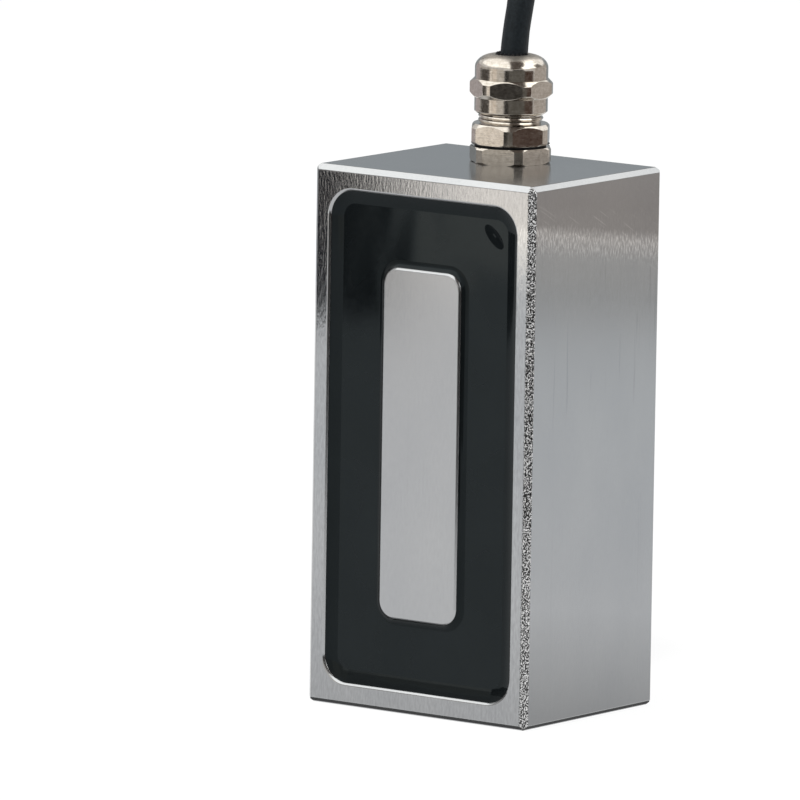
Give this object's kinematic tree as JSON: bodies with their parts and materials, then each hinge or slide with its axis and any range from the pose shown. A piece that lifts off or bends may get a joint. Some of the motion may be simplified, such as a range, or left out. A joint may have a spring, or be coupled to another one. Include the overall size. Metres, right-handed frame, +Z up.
{
  "type": "holding electromagnet",
  "caption": "Rectangular holding electromagnet: steel housing with a pole core in a black potted coil face, and a metal cable gland on top with its cable coiled behind.",
  "frame": {"origin": "middle of the housing's base", "axes": "+Z up along the housing's length, towards the cable gland; pole face towards -Y, mounting face towards +Y, +X across the pole face to the viewer's right"},
  "size_m": [0.094, 0.1015, 0.1651],
  "materials": {
    "steel": "ground steel with fine scratches",
    "resin": "glossy black potting resin",
    "bobbin": "moulded nylon",
    "copper": "enamelled copper wire",
    "wrap": "polyester tape",
    "nickel": "nickel-plated brass",
    "rubber": "black rubber",
    "claw": "dark nylon",
    "cable": "black PVC",
    "sleeve": "black shrink sleeve",
    "brown_core": "brown PVC",
    "blue_core": "blue PVC",
    "tin": "tinned copper"
  },
  "bodies": {
    "root": {"housing": "steel", "coil_bobbin": "bobbin", "copper_winding": "copper", "winding_wrap": "wrap", "potting_resin": "resin", "inner_lead_brown": "brown_core", "inner_lead_blue": "blue_core", "splice_sleeves": "sleeve", "lock_nut": "nickel", "sealing_washer": "rubber", "gland_body": "nickel", "clamping_claw": "claw", "sealing_grommet": "rubber", "dome_nut": "nickel", "cable": "cable", "cable_coil": "cable", "coil_tie": "cable", "lead_brown": "brown_core", "lead_blue": "blue_core", "tinned_tips": "tin"}
  },
  "joints": []
}
